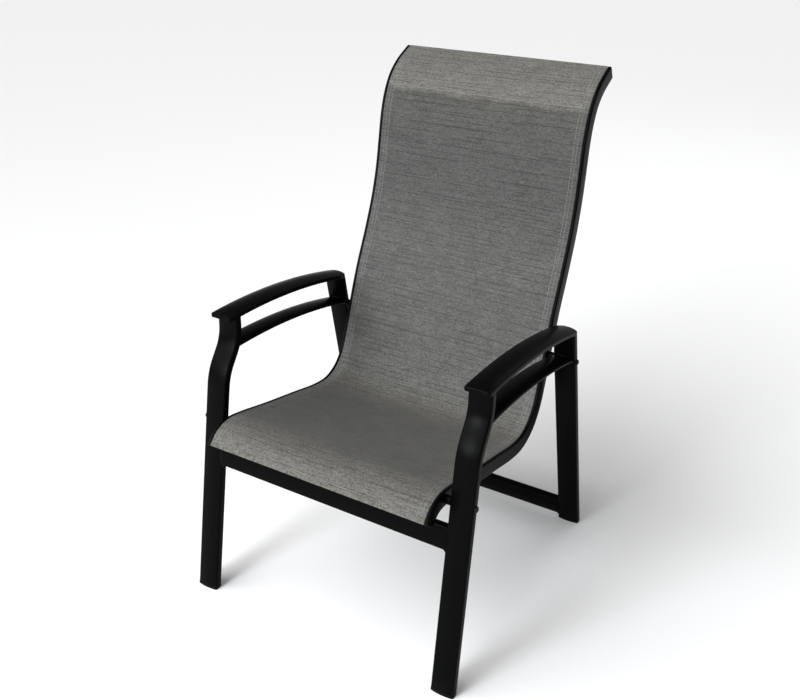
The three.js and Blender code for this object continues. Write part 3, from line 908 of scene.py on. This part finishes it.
# Arm caps: crowned, with a rolled nose and a bowed tail that is trimmed flush with the rear leg
def capSection(w, crownShare):
    roll, edge, r = arm["roll"], arm["edge"], arm["lowRound"]
    low = arc(-w + r, r, r, 180, 270, 5) + arc(w - r, r, r, 270, 360, 5)
    high = arc(w - roll, edge - roll, roll, 0, 80, 6)
    crown = [(x, edge + arm["crown"] * crownShare * (1 - (x / (w - roll)) ** 2))
             for x in np.linspace(w - roll - 0.4, 0.4 + roll - w, 25)]
    far = [(-x, n) for x, n in reversed(high)]
    return np.array(low + high + crown + far)


def armCapGrid(side):
    y = armFront + np.linspace(0, 1, 400) * (armBack - armFront)
    line, lengths = resample(np.stack([y, armUnder(y)], 1), 1.0)
    tangents = tangentsOf(line)
    total, roll, corner, spare = lengths[-1], arm["roll"], arm["tailCorner"], arm["tailSpare"]
    legShift = side * (bar["rearCentre"] - arm["centre"])
    stations = np.concatenate([
        [0.0], roll * (1 - np.cos(np.radians(np.linspace(12, 90, 8)))), arm["noseStops"],
        np.linspace(12, total - 26.0, 66), np.linspace(total - 25.0, total, 34)])

    def lifted(at, n):
        y, z, ty, tz = (np.interp(at, lengths, values) for values in (*line.T, *tangents.T))
        return y - tz * n, z + ty * n

    grid = []
    for s in stations:
        y, z = lifted(s, arm["tailMiddle"])
        gap = min(s, max(rearLegY(z) + bar["edge"] / 2 + bar["crown"] + spare - y, 0.0))
        drop = roundedIn(roll, gap)
        rise = smoothStep(min(s / arm["noseFlat"], 1.0))
        crownShare = arm["noseCrown"] + (1 - arm["noseCrown"]) * rise
        x, n = capSection(arm["width"] / 2 - roundedIn(arm["noseCorner"], s), crownShare).T
        seam = arm["edge"] * arm["seam"]
        high, low = np.maximum(n - drop * arm["rollTop"], seam), np.minimum(n + drop * arm["rollLow"], seam)
        n = np.where(n > seam, high, low)
        bend = max(0.0, 1 - (total - s) / arm["tailBlend"])
        y, z = lifted(s - bend ** 1.5 * arm["tailBow"] * (x / arm["tailBowWidth"]) ** 2, n)
        bulge = bar["crown"] * np.maximum(1 - (2 * (x - legShift) / bar["width"]) ** 2, 0.0)
        room = rearLegY(z) + bar["edge"] / 2 + bulge + spare - y
        onLeg = smoothStep(np.clip((arm["tailBlend"] - room) / (arm["tailBlend"] - corner), 0.0, 1.0))
        narrower = (arm["width"] - bar["width"]) / 2 - spare
        limit = arm["width"] / 2 - roundedIn(corner, room) - onLeg * narrower
        x = np.clip(x, onLeg * legShift - limit, onLeg * legShift + limit)
        grid.append(np.stack([x, y + np.minimum(room, 0.0), z], 1))
    return grid


# Arm rails, with small fillets at the rear legs and a weld bead across the top of each
armRail = {
    "edge": 5.0,
    "crown": 4.0,
    "corner": 2.0,
    "soften": 0.7,
    "drop": 60.5,
    "intoLeg": 6.0,
    "filletLow": 3.0,
    "filletHigh": 2.0,
    "bead": 2.0,
    "beadHalf": 17.0,
    "beadEnd": 0.6,
    "beadRipple": 0.08,
    "beadWaves": 2.4,
}
armRailMiddle = armRail["drop"] + armRail["edge"] / 2
armRailWeld = (bar["frontCentre"] + bar["rearCentre"]) / 2


def armRailOutline(count):
    outline = crownedOutline(bar["width"], armRail["edge"], armRail["crown"], armRail["corner"])
    return softOutline(outline, armRail["soften"], count)


def armRailGrid():
    outline = armRailOutline(56)
    y = np.linspace(armFront - 40, armBack + 60, 900)
    line = np.stack([y, armUnder(y) - armRailMiddle], 1)
    knee = frontLegLine()
    legBack = np.interp(line[:, 1], knee[:, 1], knee[:, 0]) + bar["edge"] / 2
    legFront = rearLegY(line[:, 1]) - bar["edge"] / 2
    keep = (line[:, 0] > legBack - armRail["intoLeg"]) & (line[:, 0] < legFront + armRail["intoLeg"])
    line, lengths = resample(line[keep], 2.0)
    total = lengths[-1]
    stops = np.concatenate([np.linspace(0, total - 24.0, 70), np.linspace(total - 22.0, total, 20)])
    grid = sweepPoints(outline, np.stack([np.interp(stops, lengths, column) for column in line.T], 1))
    fromLeg = np.maximum(total - stops - armRail["intoLeg"], 0.0)
    for reach, way in ((armRail["filletLow"], -1), (armRail["filletHigh"], 1)):
        share = np.clip(way * outline[:, 1] / armRail["edge"] * 2, 0, 1)
        grid[:, :, 2] += way * roundedIn(reach, fromLeg)[:, None] * share[None, :]
    return grid


def weldBeadGrid():
    outline = armRailOutline(120)
    top = outline[(outline[:, 1] > 0) & (np.abs(outline[:, 0]) < armRail["beadHalf"])]
    top = top[np.argsort(top[:, 0])]
    face = barOutline[barOutline[:, 1] > 0]
    face = face[np.argsort(face[:, 0])]
    rise = np.interp(top[:, 0], face[:, 0], face[:, 1])
    y = np.linspace(armFront, armBack, 2000)
    z = armUnder(y) - armRailMiddle
    at = np.argmin(np.abs(y - rearLegY(z) + bar["edge"] / 2))
    slope = (z[at + 1] - z[at]) / (y[at + 1] - y[at])
    x = np.linspace(top[0, 0], top[-1, 0], 46)
    height = z[at] + np.interp(x, top[:, 0], top[:, 1]) * math.hypot(1, slope)
    place = rearLegY(height) - np.interp(x, top[:, 0], rise)
    height = height + slope * (place - y[at])
    turns = np.linspace(0, 2 * math.pi, 10, endpoint=False)
    grid = []
    for across, along, up in zip(x, place, height):
        fade = math.sqrt(max(1 - (across / (abs(x[0]) + armRail["beadEnd"])) ** 4, 0.02))
        r = armRail["bead"] * fade * (1 + armRail["beadRipple"] * math.sin(across * armRail["beadWaves"]))
        y, z = along + r * np.cos(turns), up + r * np.sin(turns)
        grid.append(np.stack([np.full_like(turns, across), y, z], 1))
    return grid


def makeArms():
    for name, side in sides:
        placedGrid("armrest " + name, armCapGrid(side), side * arm["centre"], coat)
        placedGrid("arm rail " + name, armRailGrid(), side * bar["frontCentre"], coat)
        placedGrid("arm rail weld " + name, weldBeadGrid(), side * armRailWeld, coat, [])


makeArms()
print("arms ready")


# Crossbars: their ends run into the legs' inner edges and flatten to meet them, with a fillet below
crossbars = {
    "front": {"height": 50.0, "drop": 49.0, "legFace": frontFaces[0], "lean": bar["frontLean"]},
    "rear": {"height": 47.0, "bottom": 14.5, "legFace": rearFaces[0], "lean": -bar["rearLean"]},
    "intoLeg": 12.0,
    "flatten": 0.86,
    "flattenFrom": 3.0,
    "flattenOver": 11.0,
    "fillet": 6.0,
}


def makeCrossbar(name, settings, legY):
    half, legFace, lean = settings["height"] / 2, settings["legFace"], settings["lean"]
    middle = frontBolt[1] - settings["drop"] - half if "drop" in settings else settings["bottom"] + half
    outline = barSection(settings["height"])
    reach = legFace + crossbars["intoLeg"]
    stops = np.concatenate([np.linspace(-reach, -reach + 26, 20), np.linspace(-reach + 40, reach - 40, 20),
                            np.linspace(reach - 26, reach, 20)])
    up = np.array([lean, 1.0]) / math.hypot(1, lean)
    out = np.array([-up[1], up[0]])
    grid = []
    for x in stops:
        near = np.clip((abs(x) - legFace + crossbars["flattenFrom"]) / crossbars["flattenOver"], 0, 1)
        scale = 1 - (1 - crossbars["flatten"]) * smoothStep(near)
        h, n = outline[:, 0], outline[:, 1] * scale
        h = h - roundedIn(crossbars["fillet"], legFace - abs(x)) * np.clip(-2 * h / half - 1, 0.0, 1.0)
        y = legY(middle) + up[0] * h + out[0] * n
        z = middle + up[1] * h + out[1] * n
        grid.append(np.stack([np.full_like(h, x), y, z], 1))
    placedGrid(name, grid, 0.0, coat)


makeCrossbar("front crossbar", crossbars["front"], frontLegY)
makeCrossbar("rear crossbar", crossbars["rear"], rearLegY)
print("crossbars ready")


# Turned pieces along X: spreaders, spacers and the button-head bolts
def turnedPiece(name, profile, place, count, finish, side=1, hollow=False):
    turn = np.linspace(0, 2 * math.pi, count, endpoint=False)
    vertices = np.vstack([
        np.stack([np.full_like(turn, side * x), place[0] + radius * np.cos(turn),
                  place[1] + radius * np.sin(turn)], 1) for x, radius in profile])
    if hollow:
        last = (len(profile) - 1) * count
        faces = ringFaces(len(profile), count)
        faces += [(last + j, last + (j + 1) % count, (j + 1) % count, j) for j in range(count)]
    else:
        faces = tubeFaces(len(profile), count)
    return makePiece(name, vertices, turnedOutward(vertices, faces), finish)


tube = {"radius": 9.5, "wall": 1.6, "inside": 236.0, "into": 0.6, "sides": 40}
spacer = {"radius": 9.0, "bore": 3.3, "bevel": 0.7, "into": 0.2}
bolt = {"shank": 3.0, "head": 6.6, "height": 4.0, "rim": 0.9, "edge": 0.2, "point": 0.5, "core": 0.05,
        "socket": 2.3, "depth": 2.2, "sides": 36, "tip": 214.0, "seat": 0.1}


def makeTube(name, place):
    end, r, bore = tube["inside"] + tube["into"], tube["radius"], tube["radius"] - tube["wall"]
    profile = [(-end, bore), (-end, r), (end, r), (end, bore)]
    turnedPiece(name, profile, place, tube["sides"], coat, hollow=True)


def makeSpacer(name, place, legFace, side):
    r, bevel, bore = spacer["radius"], spacer["bevel"], spacer["bore"]
    inner, outer = railOuter - spacer["into"], legFace + spacer["into"]
    profile = [(inner, bore), (inner, r - bevel), (inner + bevel, r),
               (outer - bevel, r), (outer, r - bevel), (outer, bore)]
    turnedPiece(name, profile, place, tube["sides"], coat, side, hollow=True)


def makeBolt(name, place, legFace, side):
    tip, shank, head, rim = bolt["tip"], bolt["shank"], bolt["head"], bolt["rim"]
    edge, point, core, socket, count = (bolt[key] for key in ("edge", "point", "core", "socket", "sides"))
    seat = legFace + bolt["seat"]
    crown = seat + bolt["height"]
    profile = [(tip, core), (tip, shank - point), (tip + point, shank), (seat, shank),
               (seat, head - edge), (seat + edge, head), (seat + rim, head)]
    for a in np.radians(np.linspace(15, 90, 7)):
        profile.append((seat + rim + (bolt["height"] - rim) * math.sin(a),
                        socket + rim + (head - socket - rim) * math.cos(a)))
    start = len(profile)
    profile += [(crown - 0.1, socket + 0.25), (crown - 0.4, socket), (crown - bolt["depth"], socket),
                (crown - bolt["depth"] - 0.8, core)]
    piece = turnedPiece(name, profile, place, count, steel, side)
    sixth = math.pi / 3
    for v in piece.data.vertices[(start + 1) * count:(start + 3) * count]:  # a six-sided socket
        a = math.atan2(v.co.z - place[1] * mm, v.co.y - place[0] * mm)
        r = socket * mm / math.cos((a % sixth) - sixth / 2) * math.cos(sixth / 2)
        v.co.y, v.co.z = place[0] * mm + r * math.cos(a), place[1] * mm + r * math.sin(a)


def makeFittings():
    makeTube("front spreader", frontBolt)
    makeTube("rear spreader", rearBolt)
    makeTube("top spreader", topWeld)
    for name, side in sides:
        makeSpacer("front spacer " + name, frontBolt, frontFaces[0], side)
        makeSpacer("rear spacer " + name, rearBolt, rearFaces[0], side)
        makeBolt("front rail bolt " + name, frontBolt, frontFaces[1], side)
        makeBolt("rear rail bolt " + name, rearBolt, rearFaces[1], side)


makeFittings()
print("fittings ready")


# The cloth: hemmed edges go down through the mouths and round the splines, and come back under the panel
cloth = {
    "thick": 0.6,
    "bed": 0.35,
    "hemGap": 0.12,
    "hemWidth": 30.0,
    "hemEnd": 2.4,
    "panelEnd": 2.2,
    "wayIn": (1.2, 1.75),  # distance from the mouth's middle, and rounding
    "wayBack": (2.0, 0.9),
    "splineRadius": 2.0,
    "loopRadius": 2.75,
    "sag": 3.0,
    "sagHalf": 244.0,
    "sagRamp": 60.0,
    "bendPull": 260.0,
    "bendSoften": 40.0,
    "overPlug": 3.7,
}


def clothProfile():
    lower, upper = cloth["bed"] + cloth["thick"] / 2, cloth["bed"] + cloth["thick"] * 1.5 + cloth["hemGap"]
    (inAt, inRound), (backAt, backRound) = cloth["wayIn"], cloth["wayBack"]
    hem = np.linspace(mouthMiddle - cloth["hemWidth"], mouthMiddle - cloth["hemEnd"], 6)
    right = [(x, upper) for x in np.linspace(0, mouthMiddle - cloth["panelEnd"], 34)]
    right += arc(mouthMiddle - inAt, upper - inRound, inRound, 80, 10, 6)
    right += arc(mouthMiddle, -channelDrop, cloth["loopRadius"], 70, -250, 22)
    right += arc(mouthMiddle - backAt, lower - backRound, backRound, 5, 90, 4)
    right += [(x, lower) for x in reversed(hem)]
    return np.array([(-x, n) for x, n in reversed(right[1:])] + right)


def offsetProfile(points, distance):
    t = tangentsOf(points)
    return points + distance * np.stack([-t[:, 1], t[:, 0]], 1)


def clothLift(x, along, bend):
    inner = np.clip(1 - (x / cloth["sagHalf"]) ** 2, 0, 1)
    ends = np.clip(np.minimum(along, slingLengths[-1] - along) / cloth["sagRamp"], 0, 1)
    return inner * (bend - cloth["sag"] * ends)


slingTurn = np.gradient(np.unwrap(np.arctan2(slingTangents[:, 1], slingTangents[:, 0])), slingLengths)
slingBend = gaussSmooth(slingTurn[:, None], cloth["bendSoften"], sling["step"])[:, 0] * cloth["bendPull"]


def makeCloth():
    profile = clothProfile()
    across = np.concatenate([[0], np.cumsum(np.hypot(*np.diff(profile, axis=0).T))])
    across -= across[-1] / 2
    across = np.concatenate([across, across[::-1]])
    outer, inner = offsetProfile(profile, cloth["thick"] / 2), offsetProfile(profile, -cloth["thick"] / 2)
    ring = np.vstack([outer, inner[::-1]])
    rings, count = len(slingLine), len(ring)
    overPlugs = {0: -cloth["overPlug"], rings - 1: cloth["overPlug"]}  # only the end rings reach out
    vertices, uvs = [], []
    for i, (p, tangent, s) in enumerate(zip(slingLine, slingTangents, slingLengths)):
        n = ring[:, 1] + clothLift(ring[:, 0], s, slingBend[i]) * (ring[:, 1] > 0)
        ahead = overPlugs.get(i, 0.0) * np.clip(ring[:, 1], 0, 1)
        vertices.append(np.stack([ring[:, 0], p[0] - tangent[1] * n + tangent[0] * ahead,
                                  p[1] + tangent[0] * n + tangent[1] * ahead], 1))
        uvs.append(np.stack([across, np.full(count, s)], 1))
    vertices, uvs = np.vstack(vertices), np.vstack(uvs)
    faces = ringFaces(rings, count)
    last = (rings - 1) * count
    for j in range(len(profile) - 1):
        k = count - 1 - j
        faces.append((j, k, k - 1, j + 1))
        faces.append((last + j, last + j + 1, last + k - 1, last + k))
    return makePiece("sling cloth", vertices, turnedOutward(vertices, faces), weaving, ["sling"], uvs)


slingCloth = makeCloth()


# Lock stitches as short rounded threads on the cloth: two rows down each side and one across the top roll
stitch = {
    "length": 3.3,
    "pitch": 4.8,
    "radius": 0.42,
    "lift": 0.12,
    "sides": 6,
    "shape": [(0.0, 0.35), (0.12, 0.8), (0.3, 1.0), (0.7, 1.0), (0.88, 0.8), (1.0, 0.35)],  # place and width
    "dip": 1.2,
    "sideRows": (234.0, 242.0),
    "sideEnds": (6.0, 8.0),
    "topRow": 1175.0,
    "endReach": 242.0,
}


def clothTop(x, s):
    n = cloth["bed"] + cloth["thick"] * 2 + cloth["hemGap"] + stitch["lift"]
    n += clothLift(x, s, np.interp(s, slingLengths, slingBend))
    y, z, ty, tz = (np.interp(s, slingLengths, values) for values in (*slingLine.T, *slingTangents.T))
    return np.array([x, y - tz * n, z + ty * n]), np.array([0.0, -tz, ty])


def threadPiece(start, end, outward):
    way = end - start
    length = np.linalg.norm(way)
    way /= length
    side = np.cross(way, outward)
    vertices = []
    for share, width in stitch["shape"]:
        for a in np.linspace(0, 2 * math.pi, stitch["sides"], endpoint=False):
            r = stitch["radius"] * width
            dip = (1 - width) * stitch["radius"] * stitch["dip"]
            vertices.append(start + way * length * share + side * r * math.cos(a)
                            + outward * (r * math.sin(a) - dip))
    return vertices, turnedOutward(vertices, tubeFaces(len(stitch["shape"]), stitch["sides"]))


def makeStitches(name, spots):
    vertices, faces = [], []
    for first, second in spots:
        start, outward = clothTop(*first)
        end, _ = clothTop(*second)
        points, tiles = threadPiece(start, end, outward)
        base = len(vertices)
        vertices += points
        faces += [tuple(base + i for i in tile) for tile in tiles]
    return makePiece(name, vertices, faces, thread, [])


def stitchesAlong(x):
    first, last = stitch["sideEnds"]
    starts = np.arange(first, slingLengths[-1] - last, stitch["pitch"])
    return [((x, s), (x, s + stitch["length"])) for s in starts]


def stitchesAcross(s):
    starts = np.arange(-stitch["endReach"], stitch["endReach"] - stitch["length"], stitch["pitch"])
    return [((x, s), (x + stitch["length"], s)) for x in starts]


sideSeams = [makeStitches("side seam " + name, [
    spot for x in stitch["sideRows"] for spot in stitchesAlong(side * x)]) for name, side in sides]
topSeam = makeStitches("top seam", stitchesAcross(stitch["topRow"]))
print("stitches ready")


def makeSplines():
    r = cloth["splineRadius"]
    for name, side in sides:
        section = [(side * mouthMiddle + r * math.cos(a), -channelDrop + r * math.sin(a))
                   for a in np.linspace(0, 2 * math.pi, 14, endpoint=False)]
        placedGrid("sling spline " + name, sweepPoints(section, slingLine), 0.0, plastic)


makeSplines()
print("cloth ready")


# Plastic plugs in the rails' ends
plug = {"plate": 4.0, "bevel": 1.2, "stem": 7.0, "stemInset": 3.4, "lipRound": 2.5, "soften": 0.3,
        "back": (0.1, 0.15), "dome": (0.15, 5.0), "half": 13.0}  # back and dome: reach and inset


def makePlug(name, side, index):
    r, d, lip, lipRound = rail["corner"], rail["depth"], rail["lipRise"], plug["lipRound"]
    plate, bevel, (back, backInset) = plug["plate"], plug["bevel"], plug["back"]
    dome, domeInset = plug["dome"]
    corners = arc(railInner + r, r - d, r, 180, 270, 8) + arc(railOuter - r, r - d, r, 270, 360, 8)
    corners += arc(railOuter - lipRound, lip - lipRound, lipRound, 0, 90, 8)
    corners += [(mouthOuter + 0.8, lip), (mouthOuter - 1.0, 0.0)] + arc(railInner + r, -r, r, 90, 180, 8)
    outline = softOutline(np.array(corners), plug["soften"], 60)
    centre = outline.mean(axis=0)
    p, t = slingLine[index], slingTangents[index]
    out = -t if index == 0 else t
    rings = [(-plug["stem"], plug["stemInset"]), (back, plug["stemInset"]), (back, backInset)]
    rings.append((plate - bevel, 0.0))
    for a in np.radians([30, 60, 90]):
        rings.append((plate - bevel * (1 - math.sin(a)), bevel * (1 - math.cos(a))))
    rings.append((plate + dome, domeInset))
    grid = []
    for reach, inset in rings:
        x, n = (centre + (outline - centre) * (1 - inset / plug["half"])).T
        y, z = p[0] + out[0] * reach - t[1] * n, p[1] + out[1] * reach + t[0] * n
        grid.append(np.stack([side * x, y, z], 1))
    placedGrid(name, grid, 0.0, plastic)


for name, side in sides:
    makePlug("front rail cap " + name, side, 0)
    makePlug("top rail cap " + name, side, -1)
print("plugs ready")
